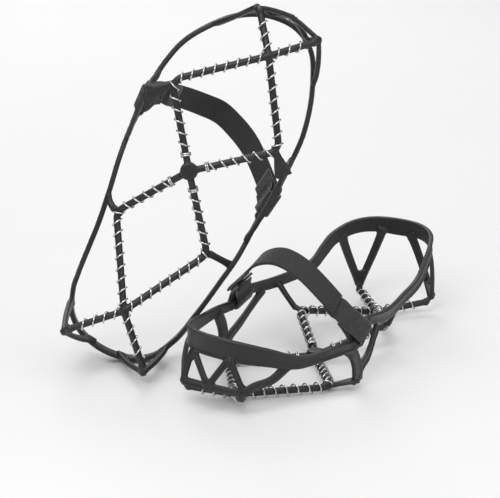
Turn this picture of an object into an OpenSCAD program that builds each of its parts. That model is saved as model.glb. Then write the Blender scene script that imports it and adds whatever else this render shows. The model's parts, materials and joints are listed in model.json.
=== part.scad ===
// A pair of coil ice cleats. Each cleat is a moulded rubber harness that stretches
// round a winter shoe, four steel coils on the cords under its sole, and an instep strap.
//
// A cleat is drawn in its own frame: x to the outer side of the foot, y to the toe,
// z up, with the heel at y = 0 and the ground at z = 0. The left cleat stands flat with
// its toe to -Y. The right cleat stands on its heel beside it, sole outwards.

/* [Shoe] */
// Length of the lattice of cords, from heel lugs to toe corners
lattice_len = 288; // [276:1:300]
// Width of the lattice at the ball of the foot
lattice_w = 99; // [92:1:104]
// Height of the band's top edge at the toe tip
toe_rim_h = 62; // [60:1:66]
// Height of the band's top edge at the heel
heel_rim_h = 76; // [70:1:82]

/* [Cords and coils] */
// Diameter of a rubber cord
cord_d = 5.6; // [5:0.1:5.8]
// Diameter of the coil wire
wire_d = 1.3; // [1.1:0.1:1.4]
// Gap between a cord and the inside of its coil
coil_gap = 0.2; // [0.15:0.05:0.3]
// Length of one turn of a coil along its cord
coil_pitch = 9; // [8.6:0.2:10]
// Closed turns at the end of each coil beside the centre disc
end_turns = 2; // [1:1:3]

/* [Harness] */
// Thickness of the rubber band and struts
band_t = 3.4; // [3:0.2:4]
// Diameter of the centre disc
hub_d = 14; // [12:1:16]
// Diameter of the round bar that carries the strap
bar_d = 6.4; // [6:0.2:7]

/* [Instep strap] */
// Width of the strap
strap_w = 21; // [20:1:22]
// Thickness of the strap webbing
strap_t = 2; // [1.6:0.2:2.2]
// Length of the fuzzy section, from the outer bar to the seam
fuzzy_len = 30; // [26:1:34]

/* [Pose of the pair] */
// Angle by which the standing cleat leans back on its heel
lean_back = 11.3; // [9:0.1:13]
// Angle by which the standing cleat leans sideways
lean_side = 27.5; // [25:0.1:30]
// Turn of the standing cleat about the vertical
stand_turn = 205.2; // [202:0.2:208]

/* [Hidden] */

rubber = "#26282b";
steel = "#c9ccd0";
webbing_black = "#1c1c1e";
fuzz_black = "#2d2d30";
thread_grey = "#3c3c40";

cord_r = cord_d / 2;
wire_r = wire_d / 2;
coil_r = cord_r + coil_gap + wire_r;
half_turn_len = coil_pitch / 2;
// A half ring spans the coil across and half a pitch along, so it is a little deeper.
ring_r = sqrt(coil_r * coil_r + half_turn_len * half_turn_len / 4);
cord_z = ring_r + wire_r;
hub_top = 2 * cord_z;
toe_corner_z = cord_z + 10;
arch_corner_z = cord_z + 15;
heel_corner_z = cord_z + 4.5;
// Beside a crossing the wire stands off from the other cord and the other coil.
cross_clear = cord_r + wire_r + 1.3;

heel_y = 14;
half_w = lattice_w / 2;
// A place in the lattice: fx in half widths to the outer side, fy in lattice lengths.
function place(fx, fy, z = cord_z) = [fx * half_w, heel_y + fy * lattice_len, z];

toe_outer = place(0.28, 1, toe_corner_z);
toe_inner = place(-0.69, 0.993, toe_corner_z);
cross_front = place(-0.16, 0.906);
ball_outer = place(1, 0.729);
ball_inner = place(-1, 0.694);
hub = place(0.1, 0.533);
arch_outer = place(0.81, 0.339, arch_corner_z);
arch_inner = place(-0.78, 0.35, arch_corner_z);
cross_rear = place(-0.02, 0.114);
heel_outer = place(0.6, 0, heel_corner_z);
heel_inner = place(-0.69, 0, heel_corner_z);

// ---------- vectors and curves ----------
function unit(v) = v / norm(v);
function mix(a, b, t) = a + (b - a) * t;
function side_of(v) = unit([v.y, -v.x, 0]);

// Catmull-Rom curve through the points of an open list.
function bend(a, b, c, d, t) =
    0.5 * (2 * b + (c - a) * t + (2 * a - 5 * b + 4 * c - d) * t * t
        + (3 * b - a - 3 * c + d) * t * t * t);
function extended(p) =
    let (n = len(p))
    concat([2 * p[0] - p[1]], p, [2 * p[n - 1] - p[n - 2]]);
function smooth(p, steps) =
    let (q = extended(p))
    concat(
        [for (i = [1 : len(p) - 1], k = [0 : steps - 1])
            bend(q[i - 1], q[i], q[i + 1], q[i + 2], k / steps)],
        [p[len(p) - 1]]);
function tangent(p, i) = unit(p[min(i + 1, len(p) - 1)] - p[max(i - 1, 0)]);

// ---------- ribbons of rubber ----------
edge_cut = 0.9;
function ribbon_section(w, t) =
    [[t / 2, edge_cut - w / 2], [t / 2, w / 2 - edge_cut],
     [t / 2 - edge_cut, w / 2], [edge_cut - t / 2, w / 2],
     [-t / 2, w / 2 - edge_cut], [-t / 2, edge_cut - w / 2],
     [edge_cut - t / 2, -w / 2], [t / 2 - edge_cut, -w / 2]];

// A strip along p, w[i] wide, lying on a surface whose outward normals are n[i].
module ribbon(p, n, w) {
    count = len(p);
    points = [for (i = [0 : count - 1])
        let (along = tangent(p, i),
             out = unit(n[i] - along * (n[i] * along)),
             across = cross(along, out))
        for (s = ribbon_section(w[i], band_t)) p[i] + s.x * out + s.y * across];
    sides = [for (i = [0 : count - 2], k = [0 : 7])
        let (a = 8 * i + k, b = 8 * i + (k + 1) % 8)
        for (f = [[a, a + 8, b + 8], [a, b + 8, b]]) f];
    first = [for (k = [0 : 7]) k];
    last = [for (k = [7 : -1 : 0]) 8 * (count - 1) + k];
    polyhedron(points, concat([first], sides, [last]));
}

// A straight or bowed strut from a to b on a surface of outward normal n.
module strut(a, b, n, w0, w1, bow = 0) {
    steps = 4;
    p = [for (k = [0 : steps]) mix(a, b, k / steps) + n * bow * sin(180 * k / steps)];
    ribbon(p, [for (q = p) n], [for (k = [0 : steps]) mix(w0, w1, k / steps)]);
}

// A curved strut through stations [x, y, z, width] on a surface of outward normal n.
module arm(stations, n) {
    q = smooth(stations, 2);
    ribbon([for (s = q) [s.x, s.y, s.z]], [for (s = q) n], [for (s = q) s[3]]);
}

// ---------- the band round the shoe ----------
// Stations run from the inner bar round the toe to the outer bar, then round the heel.
// Each is [x, y, height of the top edge, width of the band].
bar_outer = [61.5, 199, 44];
bar_inner = [-63.5, 171, 44];
// Each bar slopes down towards the toe.
outer_dir = unit([0.06, 0.86, -0.5]);
inner_dir = unit([-0.08, 0.96, -0.27]);
bar_half = strap_w / 2 + 3;
bar_end_w = 8;

function bar_station(bar, dir, s) =
    let (e = bar + dir * bar_half * s)
    [e.x, e.y, e.z + bar_end_w / 2, bar_end_w];

front_stations = [
    bar_station(bar_inner, inner_dir, 1), [-64, 208, 47, 9], [-62.5, 230, 48, 10],
    [-57, 253, 52, 12], [-49, 273, 57, 15], [-39, 290, 61, 17], [-25, 300, toe_rim_h, 17.5],
    [-9, 303, toe_rim_h - 0.5, 17.5], [11, 299, toe_rim_h - 3.5, 17], [29, 288, 53, 14.5],
    [44, 271, 45, 11], [55, 252, 44.5, 9], [60, 232, 44.5, 9.5],
    bar_station(bar_outer, outer_dir, 1)
];
rear_stations = [
    bar_station(bar_outer, outer_dir, -1), [60, 170, 51.5, 8.5], [57, 147, 47.2, 9.5],
    [52, 121, 44.5, 9.5], [48, 96, 45, 9.5], [46, 76, 46.5, 10], [44.6, 60, 50.5, 11],
    [43.2, 47, 58.5, 12], [41, 34, 66.5, 12], [33, 16, heel_rim_h - 3.5, 12.5],
    [18, 5, heel_rim_h - 0.5, 13.5], [-4, 1, heel_rim_h, 15],
    [-26, 5, heel_rim_h - 0.5, 13.5], [-41, 16, heel_rim_h - 3.5, 12.5], [-49, 34, 66.5, 12],
    [-52, 47, 58.5, 12], [-53.5, 60, 50.5, 11], [-56, 76, 46.5, 10], [-59, 98, 46, 9.5],
    [-62, 123, 47, 9.5], bar_station(bar_inner, inner_dir, -1)
];

module band_part(stations) {
    q = smooth(stations, 2);
    p = [for (s = q) [s.x, s.y, s.z - s[3] / 2]];
    n = [for (i = [0 : len(p) - 1]) -side_of(tangent(p, i))];
    ribbon(p, n, [for (s = q) s[3]]);
}

module strap_bar(bar, dir) {
    across = unit(cross(dir, [0, 0, 1]));
    translate(bar)
        multmatrix(frame_to(across, cross(dir, across), dir))
            cylinder(d = bar_d, h = 2 * bar_half + 1, center = true, $fn = 24);
    for (s = [-1, 1])
        translate(bar + dir * bar_half * s) sphere(d = bar_end_w, $fn = 14);
}

function frame_to(x, y, z) = [[x.x, y.x, z.x, 0], [x.y, y.y, z.y, 0], [x.z, y.z, z.z, 0]];

// ---------- cords under the sole ----------
cord_sides = 12;

// A round cord along p; phase turns its facets so that no two cords share a plane.
module cord(p, phase) {
    count = len(p);
    points = [for (i = [0 : count - 1])
        let (along = tangent(p, i), across = side_of(along), up = cross(across, along))
        for (k = [0 : cord_sides - 1])
            let (a = phase + 360 * k / cord_sides)
            p[i] + cord_r * (cos(a) * across + sin(a) * up)];
    sides = [for (i = [0 : count - 2], k = [0 : cord_sides - 1])
        let (a = cord_sides * i + k, b = cord_sides * i + (k + 1) % cord_sides)
        for (f = [[a, b + cord_sides, a + cord_sides], [a, b, b + cord_sides]]) f];
    first = [for (k = [cord_sides - 1 : -1 : 0]) k];
    last = [for (k = [0 : cord_sides - 1]) cord_sides * (count - 1) + k];
    polyhedron(points, concat([first], sides, [last]));
}

disc_t = 8.7;
module cords() {
    cord(concat([toe_inner], corner_path(cross_front, ball_outer, hub)), 4);
    cord(concat([toe_outer], corner_path(cross_front, ball_inner, hub)), 11);
    cord(concat([heel_inner], corner_path(cross_rear, arch_outer, hub)), 19);
    cord(concat([heel_outer], corner_path(cross_rear, arch_inner, hub)), 26);
    translate([hub.x, hub.y, hub_top - disc_t]) cylinder(d = hub_d, h = disc_t, $fn = 48);
}

// ---------- webs between the sole and the band ----------
lug_d = 6.8;
web_d = 3.8;
toe_lug_outer = toe_outer + [3.4, 1.5, 4.5];
toe_lug_inner = toe_inner + [-2.5, 3.5, 5.5];
toe_lug_mid = [-11.5, 309.5, 22];
rim_node_outer = [4.5, 305.5, 44];
rim_node_inner = [-31.5, 300.5, 45];
rim_far_outer = [39, 276.5, 37];
rim_far_inner = [-51, 271, 44];

module toe_web() {
    toe_face = unit([0, 1, 0.12]);
    outer_face = unit([0.6, 0.78, 0.12]);
    inner_face = unit([-0.5, 0.85, 0.12]);
    corner_leg(toe_outer, toe_lug_outer, 6, lug_d);
    corner_leg(toe_inner, toe_lug_inner, 6, lug_d);
    strut(toe_lug_inner, toe_lug_mid, unit([-0.35, 0.93, 0.1]), 6, 6);
    strut(toe_lug_mid, toe_lug_outer, unit([0.2, 0.97, 0.1]), 6, 6, 1);
    strut(toe_lug_mid, rim_node_inner, toe_face, 4.6, 5, 0.6);
    strut(toe_lug_mid, rim_node_outer, toe_face, 5, 5.4, 0.6);
    strut(toe_lug_inner, rim_node_inner, inner_face, 5, 5.4, 0.5);
    strut(toe_lug_outer, rim_node_outer, toe_face, 4.6, 5, 0.5);
    arm([[toe_lug_outer.x, toe_lug_outer.y, toe_lug_outer.z, 7], [22, 297.5, 24, 6.6],
         [31, 286, 27.5, 6.6], [rim_far_outer.x, rim_far_outer.y, rim_far_outer.z, 7.5]],
        outer_face);
    strut(toe_lug_inner, rim_far_inner, unit([-0.9, 0.4, 0.1]), 6.5, 8, 1.5);
}

// A leg from a corner of the lattice out to the sole's edge, w wide there.
module corner_leg(corner, edge, w, neck) {
    hull() {
        translate(corner) rotate([7, 11, 13]) sphere(d = neck, $fn = 12);
        for (s = [-0.5, 0.5])
            translate(edge + [0, s * (w - web_d), 0]) sphere(d = web_d, $fn = 8);
    }
}

// The leg at the ball of the foot: a foot, a post up to the front of the bar and an arm
// back to the band behind it. Offsets run from the foot, outwards, to the toe and up.
module ball_leg(corner, side, foot_x, foot_y, post, rear_arm) {
    foot = [foot_x, foot_y, 7];
    out = unit([side, 0, 0.04]);
    corner_leg([corner.x - side * 3.5, corner.y, corner.z], foot, 14, 4.2);
    arm([for (q = post) [foot.x + side * q[0], foot.y + q[1], foot.z + q[2], q[3]]], out);
    arm([for (q = rear_arm) [foot.x + side * q[0], foot.y + q[1], foot.z + q[2], q[3]]], out);
}

outer_post = [[-0.5, 0, -1.5, 14], [0.3, 1, 6, 13], [0.3, 3, 15, 11.5], [0, 8, 24, 11],
              [-2, 16, 31, 10]];
outer_arm = [[0, 1, 5, 9], [-0.2, -8, 10.5, 8], [-0.8, -17, 13.5, 7.5],
             [-1.5, -25, 19.5, 6], [-2.5, -33, 27, 6], [-3, -39, 34, 7.5]];
inner_post = [[-0.5, 0, -1.5, 14], [0.3, 0.5, 6, 13], [0.6, 1.5, 15, 11.5], [0.8, 4, 24, 11],
              [0.5, 10, 33.5, 10]];
inner_arm = [[0, 0, 5, 9], [0.2, -10, 10.5, 8], [0.3, -22, 15, 7.5], [0.4, -35, 20.5, 6.5],
             [0.2, -49, 27.5, 6.5], [-1, -61, 34.5, 8]];

module arch_leg(corner, side, top) {
    edge = corner + [side * 3, 1, 2.5];
    corner_leg([corner.x - side * 3.5, corner.y, corner.z], edge, 6.5, 4.2);
    arm([[edge.x, edge.y, edge.z - 1, 5.5], [mix(edge, top, 0.5).x + side, mix(edge, top, 0.5).y,
         mix(edge, top, 0.5).z, 5.5], [top.x, top.y, top.z, 7]], unit([side, 0, 0.3]));
}

module heel_leg(corner, side, post_top, back_top) {
    edge = corner + [side * 3.2, -4.7, 4.3];
    corner_leg(corner, edge, 6.5, lug_d);
    strut(edge, post_top, unit([side, -0.6, 0]), 6.5, 8, 1);
    strut(edge, back_top, [0, -1, 0], 6, 7.5, 1.5);
}

module harness() {
    color(rubber)
        union() {
            cords();
            band_part(front_stations);
            band_part(rear_stations);
            strap_bar(bar_outer, outer_dir);
            strap_bar(bar_inner, inner_dir);
            toe_web();
            ball_leg(ball_outer, 1, 62.5, 205, outer_post, outer_arm);
            ball_leg(ball_inner, -1, -62, 198, inner_post, inner_arm);
            arch_leg(arch_outer, 1, [51, 117, 40]);
            arch_leg(arch_inner, -1, [-61, 113, 42]);
            heel_leg(heel_outer, 1, [38.5, 26, 61], [9, 4, 66]);
            heel_leg(heel_inner, -1, [-46.5, 26, 61], [-17, 4, 66]);
        }
}

// ---------- coils ----------
// A coil is a chain of half rings. Each spans the cord from one side point to the next,
// over it or under it, and stands upright at both, so the wire stays smooth.
corner_r = 9;
corner_steps = 6;
end_gap = 8.5;
tip_gap = 4.5;
end_step = wire_d + 0.15;

// The cord from a crossing, round its rounded corner, to the disc, as a fine polyline.
function corner_path(start, corner, finish) =
    let (u = unit(start - corner),
         v = unit(finish - corner),
         half = acos(u * v) / 2,
         back = corner_r / tan(half),
         centre = corner + unit(u + v) * corner_r / sin(half),
         a0 = corner + u * back - centre,
         a1 = corner + v * back - centre,
         sweep = 180 - 2 * half)
    concat([start],
        [for (k = [0 : corner_steps])
            let (t = k / corner_steps)
            centre + (sin(sweep * (1 - t)) * a0 + sin(sweep * t) * a1) / sin(sweep)],
        [finish]);
function path_len(p, i = 0) =
    i >= len(p) - 1 ? 0 : norm(p[i + 1] - p[i]) + path_len(p, i + 1);
function path_at(p, s, i = 0) =
    let (step = norm(p[i + 1] - p[i]))
    s <= step || i == len(p) - 2
        ? [p[i] + (p[i + 1] - p[i]) * s / step, unit(p[i + 1] - p[i])]
        : path_at(p, s - step, i + 1);

// Half a ring of wire from a to b, bulging to up, a hair short at each end, where a small
// bead joins it to the next.
bead_r = wire_r * 1.05;
bead_gap = 0.6;
module half_ring(a, b, up) {
    across = unit(b - a);
    rise = unit(up - across * (up * across));
    translate((a + b) / 2)
        multmatrix(frame_to(across, rise, cross(across, rise)))
            rotate([0, 0, bead_gap])
                rotate_extrude(angle = 180 - 2 * bead_gap, $fn = 48)
                    translate([norm(b - a) / 2, 0]) circle(r = wire_r, $fn = 40);
}

module bead(p)
    translate(p) sphere(r = bead_r, $fn = 40);

// The low pass over a crossing: two quarter rings joined by a straight wire.
module low_pass(a, b) {
    low_r = cord_r + 0.12 + wire_r;
    across = unit(b - a);
    half = norm(b - a) / 2;
    translate((a + b) / 2)
        multmatrix(frame_to(across, [0, 0, 1], cross(across, [0, 0, 1])))
            for (s = [0, 1])
                mirror([s, 0, 0]) {
                    translate([half - low_r, 0, 0])
                        rotate([0, 0, bead_gap])
                            rotate_extrude(angle = 90 - 2 * bead_gap, $fn = 48)
                                translate([low_r, 0]) circle(r = wire_r, $fn = 40);
                    bead([half - low_r, low_r, 0]);
                    if (s == 0)
                        translate([0, low_r, 0]) rotate([0, 90, 0])
                            cylinder(r = wire_r, h = 2 * (half - low_r) - 0.1,
                                center = true, $fn = 40);
                }
}

// Distances of the side points from the crossing, outwards along one arm of the coil.
function side_steps(total, closed_turns) =
    let (open_n = floor((total - cross_clear - closed_turns * 2 * end_step)
                        / half_turn_len))
    concat([for (k = [0 : open_n]) cross_clear + k * half_turn_len],
           [for (k = [1 : 2 * closed_turns])
               cross_clear + open_n * half_turn_len + k * end_step / 2]);

// A coil over a crossing: one arm to a corner of the toe or heel, the other round a side
// corner to the centre disc. hand is 1 or -1, and low tells which coil passes beneath.
module coil(crossing, tip, corner, hand, low) {
    arm = corner_path(crossing, corner, hub);
    tip_dir = unit(tip - crossing);
    tip_side = side_of(-tip_dir);
    tip_up = unit(cross(tip_side, -tip_dir));
    long_steps = side_steps(path_len(arm) - end_gap, end_turns);
    tip_steps = side_steps(norm(tip - crossing) - tip_gap, 0);
    long_side = [for (k = [0 : len(long_steps) - 1])
        let (at = path_at(arm, long_steps[k]), s = k % 2 == 0 ? -hand : hand)
        at[0] + side_of(at[1]) * coil_r * s];
    long_up = [for (k = [0 : len(long_steps) - 2])
        let (along = path_at(arm, mix(long_steps[k], long_steps[k + 1], 0.5))[1])
        cross(side_of(along), along)];
    tip_points = [for (k = [0 : len(tip_steps) - 1])
        crossing + tip_dir * tip_steps[k] + tip_side * coil_r * (k % 2 == 0 ? hand : -hand)];
    color(steel)
        union() {
            if (low) low_pass(tip_points[0], long_side[0]);
            else half_ring(tip_points[0], long_side[0], [0, 0, 1]);
            for (k = [0 : len(long_side) - 2])
                half_ring(long_side[k], long_side[k + 1], long_up[k] * (k % 2 == 0 ? -1 : 1));
            for (k = [0 : len(tip_points) - 2])
                half_ring(tip_points[k], tip_points[k + 1], tip_up * (k % 2 == 0 ? -1 : 1));
            for (p = concat(tip_points, long_side)) bead(p);
        }
}

// ---------- instep strap ----------
// The strap is a sheet along a line from the outer bar over the instep to the inner bar.
// Its width runs along the outer bar at one end and along the inner bar at the other.
fold_r = bar_d / 2 + 0.4 + strap_t / 2;
hook_t = 1;
layer_gap = 0.3;
// The webbing lies outside the keeper tab at the inner end, with the hook pad between.
keeper_drop = strap_t + hook_t + 2 * layer_gap;
// Directions in which the strap leaves each bar, and outwards from each fold.
outer_rise = unit([-0.554, 0.447, 0.703] - outer_dir * ([-0.554, 0.447, 0.703] * outer_dir));
inner_rise = unit([0.45, 0.3, 0.83] - inner_dir * ([0.45, 0.3, 0.83] * inner_dir));
outer_out = cross(outer_dir, outer_rise);
inner_out = cross(inner_rise, inner_dir);
outer_start = bar_outer + outer_out * fold_r;
inner_start = bar_inner + inner_out * (fold_r + keeper_drop);

strap_line = smooth([
    outer_start, outer_start + outer_rise * 9, [52, 208, 61], [35.5, 211, 78], [18, 212.5, 92.5],
    [2, 213, 99.5], [-13, 209, 98], [-28, 203, 90.5], [-42, 194, 77],
    inner_start + inner_rise * 12, inner_start], 6);

function ease(t) = t * t * (3 - 2 * t);

// Place, width direction, outward direction and way on at the distance s along the strap,
// d off its middle surface.
strap_len = path_len(strap_line);
function strap_at(s, d) =
    let (at = path_at(strap_line, s),
         behind = path_at(strap_line, max(s - 1.5, 0))[1],
         ahead = path_at(strap_line, min(s + 1.5, strap_len))[1],
         along = unit(behind + ahead),
         width = unit(mix(outer_dir, inner_dir, ease(s / strap_len))),
         out = unit(cross(width, along)))
    [at[0] + out * d, width, out, along];

// A fold round a bar, from its outer side to its inner side.
function fold_turn(bar, dir, out, rise) =
    [for (a = [0 : 15 : 180])
        let (away = unit(cos(a) * out - sin(a) * rise))
        [bar + fold_r * away, dir, away]];

// The way back up from a fold, closing in under the layer it comes from. It starts at s0
// along the strap and runs towards or away from the outer bar, drop below the webbing.
back_gap = 0.35;
back_len = 22;
back_steps = 8;
function back_layer(s0, heading, drop) =
    [for (k = [1 : back_steps])
        let (t = k / back_steps,
             depth = mix(2 * fold_r, strap_t + back_gap, ease(t)),
             q = strap_at(s0 + heading * back_len * t, -drop - depth))
        [q[0], q[1], -q[2]]];

// A flat sheet through stations [place, width direction, outward direction].
module sheet(stations, w, t) {
    count = len(stations);
    points = [for (q = stations, c = [[1, -1], [1, 1], [-1, 1], [-1, -1]])
        q[0] + q[2] * c[0] * t / 2 + q[1] * c[1] * w / 2];
    sides = [for (i = [0 : count - 2], k = [0 : 3])
        let (a = 4 * i + k, b = 4 * i + (k + 1) % 4)
        for (f = [[a, a + 4, b + 4], [a, b + 4, b]]) f];
    last = [for (k = [3 : -1 : 0]) 4 * (count - 1) + k];
    polyhedron(points, concat([[0, 1, 2, 3]], sides, [last]));
}

sheet_step = 4;
function sheet_stations(s0, s1, d) =
    let (n = ceil((s1 - s0) / sheet_step))
    [for (k = [0 : n]) strap_at(mix(s0, s1, k / n), d)];

webbing_end = strap_len - 8;
seam_lap = 9;
under = strap_t + layer_gap;

module strap_webbing()
    color(webbing_black)
        sheet(sheet_stations(fuzzy_len, webbing_end, 0), strap_w, strap_t);

// The fuzzy section is sewn under the webbing at the seam, comes out from beneath it, runs
// down to the outer bar, wraps it and is sewn back to itself on the inside.
module strap_fuzzy_section() {
    lap = [for (k = [0 : 3]) strap_at(fuzzy_len + seam_lap - k * seam_lap / 3, -under)];
    ramp = [for (k = [1 : 3])
        strap_at(fuzzy_len - 1.6 * k, -under * (1 - ease(k / 3)))];
    leg = [for (k = [1 : 6]) strap_at((fuzzy_len - 4.8) * (1 - k / 7), 0)];
    turn = concat(fold_turn(bar_outer, outer_dir, outer_out, outer_rise),
        back_layer(0, 1, 0));
    color(fuzz_black)
        sheet([for (q = concat(lap, ramp, leg, turn)) [q[0], -q[1], q[2]]], strap_w, strap_t);
}

pad_len = 20;
module strap_hook_pad()
    color(thread_grey)
        sheet(sheet_stations(webbing_end - pad_len - 1, webbing_end - 1,
            -(strap_t + hook_t) / 2 - layer_gap), strap_w - 3, hook_t);

keeper_len = 30;
module keeper_tab() {
    leg = [for (k = [0 : 11])
        strap_at(strap_len - keeper_len * (1 - k / 12), -keeper_drop)];
    turn = concat(fold_turn(bar_inner, inner_dir, inner_out, inner_rise),
        back_layer(strap_len, -1, keeper_drop));
    color(fuzz_black)
        sheet(concat(leg, turn), strap_w, strap_t);
}

// Rows of single stitches across the strap, each a short thread lying on the webbing.
stitch_t = 0.5;
stitch_w = 0.7;
stitch_len = 2.2;
stitch_gap = 1.3;
stitch_pitch = stitch_len + stitch_gap;
edge_margin = 1.5;
thread_gap = 0.12;
module stitch_row(s, d)
    let (q = strap_at(s, d + (strap_t + stitch_t) / 2 + thread_gap),
         n = floor((strap_w - 2 * edge_margin) / stitch_pitch))
        translate(q[0])
            multmatrix(frame_to(unit(cross(q[2], q[1])), q[1], q[2]))
                for (k = [0 : n - 1])
                    translate([0, (k - (n - 1) / 2) * stitch_pitch, 0])
                        cube([stitch_w, stitch_len, stitch_t], center = true);

module strap_stitching()
    color(thread_grey) {
        for (lap = [2, 5.5, 7.5]) stitch_row(fuzzy_len + lap, 0);
        for (s = [12, 15]) stitch_row(s, 0);
    }

module keeper_stitching()
    color(thread_grey)
        for (s = [3, 5]) stitch_row(strap_len - s, -keeper_drop);

// ---------- the pair ----------
foot_mid = heel_y + lattice_len / 2;
left_at = [51.863, -1.699, 0.08];
right_at = [-60.937, -155.599, 22.31];

module left_place()
    translate(left_at + [0, foot_mid, 0]) mirror([0, 1, 0]) children();

module right_place()
    translate(right_at)
        rotate([90 + lean_back, -lean_side, stand_turn])
            children();

module coil_toe_inner() coil(cross_front, toe_inner, ball_outer, 1, true);
module coil_toe_outer() coil(cross_front, toe_outer, ball_inner, -1, false);
module coil_heel_inner() coil(cross_rear, heel_inner, arch_outer, -1, true);
module coil_heel_outer() coil(cross_rear, heel_outer, arch_inner, 1, false);

module left_harness() left_place() harness();
module left_coil_toe_inner() left_place() coil_toe_inner();
module left_coil_toe_outer() left_place() coil_toe_outer();
module left_coil_heel_inner() left_place() coil_heel_inner();
module left_coil_heel_outer() left_place() coil_heel_outer();
module left_strap_webbing() left_place() strap_webbing();
module left_strap_fuzzy_section() left_place() strap_fuzzy_section();
module left_strap_hook_pad() left_place() strap_hook_pad();
module left_strap_stitching() left_place() strap_stitching();
module left_keeper_tab() left_place() keeper_tab();
module left_keeper_stitching() left_place() keeper_stitching();

module right_harness() right_place() harness();
module right_coil_toe_inner() right_place() coil_toe_inner();
module right_coil_toe_outer() right_place() coil_toe_outer();
module right_coil_heel_inner() right_place() coil_heel_inner();
module right_coil_heel_outer() right_place() coil_heel_outer();
module right_strap_webbing() right_place() strap_webbing();
module right_strap_fuzzy_section() right_place() strap_fuzzy_section();
module right_strap_hook_pad() right_place() strap_hook_pad();
module right_strap_stitching() right_place() strap_stitching();
module right_keeper_tab() right_place() keeper_tab();
module right_keeper_stitching() right_place() keeper_stitching();

left_harness();
left_coil_toe_inner();
left_coil_toe_outer();
left_coil_heel_inner();
left_coil_heel_outer();
left_strap_webbing();
left_strap_fuzzy_section();
left_strap_hook_pad();
left_strap_stitching();
left_keeper_tab();
left_keeper_stitching();
right_harness();
right_coil_toe_inner();
right_coil_toe_outer();
right_coil_heel_inner();
right_coil_heel_outer();
right_strap_webbing();
right_strap_fuzzy_section();
right_strap_hook_pad();
right_strap_stitching();
right_keeper_tab();
right_keeper_stitching();
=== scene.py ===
"""A pair of coil ice cleats: moulded rubber harness, steel coils and instep strap.

Each cleat is built once in its own frame, in millimetres (x to the outer side of the
foot, y to the toe, z up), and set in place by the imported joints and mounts.
"""
import json
import math
import random

import bpy
import numpy as np
from mathutils import Matrix, Vector


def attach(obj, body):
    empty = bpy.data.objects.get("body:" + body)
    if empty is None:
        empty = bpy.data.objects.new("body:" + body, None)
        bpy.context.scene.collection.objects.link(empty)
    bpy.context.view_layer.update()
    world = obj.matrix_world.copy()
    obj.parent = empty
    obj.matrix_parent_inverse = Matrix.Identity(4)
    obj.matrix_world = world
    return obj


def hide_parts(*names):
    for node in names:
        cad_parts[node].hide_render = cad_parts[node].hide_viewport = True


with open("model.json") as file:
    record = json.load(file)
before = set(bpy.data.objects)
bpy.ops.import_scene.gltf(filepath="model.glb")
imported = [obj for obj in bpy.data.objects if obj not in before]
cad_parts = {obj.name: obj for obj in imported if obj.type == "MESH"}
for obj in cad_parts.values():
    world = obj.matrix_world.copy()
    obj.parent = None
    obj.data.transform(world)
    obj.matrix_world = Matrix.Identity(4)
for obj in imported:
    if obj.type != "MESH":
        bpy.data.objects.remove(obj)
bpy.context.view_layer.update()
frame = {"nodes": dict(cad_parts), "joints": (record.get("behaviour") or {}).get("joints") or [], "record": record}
record = frame["record"]
nodes = frame["nodes"]
MM = 0.001
SIDES = ("left", "right")

# ---------- sizes, in millimetres ----------
LATTICE_LEN = 288
HALF_W = 49.5
HEEL_Y = 14
TOE_RIM_H = 62
HEEL_RIM_H = 76
CORD_R = 2.8
WIRE_R = 0.65
COIL_R = CORD_R + 0.2 + WIRE_R
COIL_PITCH = 9
RING_R = math.hypot(COIL_R, COIL_PITCH / 4)
CORD_Z = RING_R + WIRE_R
BAND_T = 3.4
DISC_R = 7
DISC_T = 8.7
BAR_R = 3.2
STRAP_W = 21
STRAP_T = 2
FUZZY_LEN = 30
HOOK_T = 1
GAP = 0.3
CORNER_R = 9
# The skin over the rubber shells: the size of its cells, and how far it is softened.
VOXEL = 0.62
SOFTEN_STEPS = 5
TUBE_SIDES = 20
DISC_SIDES = 48


def vec(*v):
    return np.array(v, float)


def unit(v):
    return v / np.linalg.norm(v)


def mix(a, b, t):
    return a + (b - a) * t


def ease(t):
    t = min(max(t, 0.0), 1.0)
    return t * t * (3 - 2 * t)


def place(fx, fy, z=CORD_Z):
    """A point of the lattice, by its share of the half width and of the length."""
    return vec(fx * HALF_W, HEEL_Y + fy * LATTICE_LEN, z)


TOE_Z = CORD_Z + 10
ARCH_Z = CORD_Z + 15
HEEL_Z = CORD_Z + 4.5
TOE_OUTER = place(0.28, 1, TOE_Z)
TOE_INNER = place(-0.69, 0.993, TOE_Z)
CROSS_FRONT = place(-0.16, 0.906)
BALL_OUTER = place(1, 0.729)
BALL_INNER = place(-1, 0.694)
HUB = place(0.1, 0.533)
ARCH_OUTER = place(0.81, 0.339, ARCH_Z)
ARCH_INNER = place(-0.78, 0.35, ARCH_Z)
CROSS_REAR = place(-0.02, 0.114)
HEEL_OUTER = place(0.6, 0, HEEL_Z)
HEEL_INNER = place(-0.69, 0, HEEL_Z)
DISC_TOP = vec(HUB[0], HUB[1], 2 * CORD_Z)

BAR_OUTER = vec(61.5, 199, 44)
BAR_INNER = vec(-63.5, 171, 44)
OUTER_DIR = unit(vec(0.06, 0.86, -0.5))
INNER_DIR = unit(vec(-0.08, 0.96, -0.27))
BAR_HALF = STRAP_W / 2 + 3
BAR_END_W = 8


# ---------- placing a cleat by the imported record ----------
def basis(a, b, c, hand):
    """Three axes from three points; hand is -1 for a mirrored cleat."""
    e1 = unit(b - a)
    e2 = unit((c - a) - e1 * ((c - a) @ e1))
    return np.stack([e1, e2, hand * np.cross(e1, e2)], 1)


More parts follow.
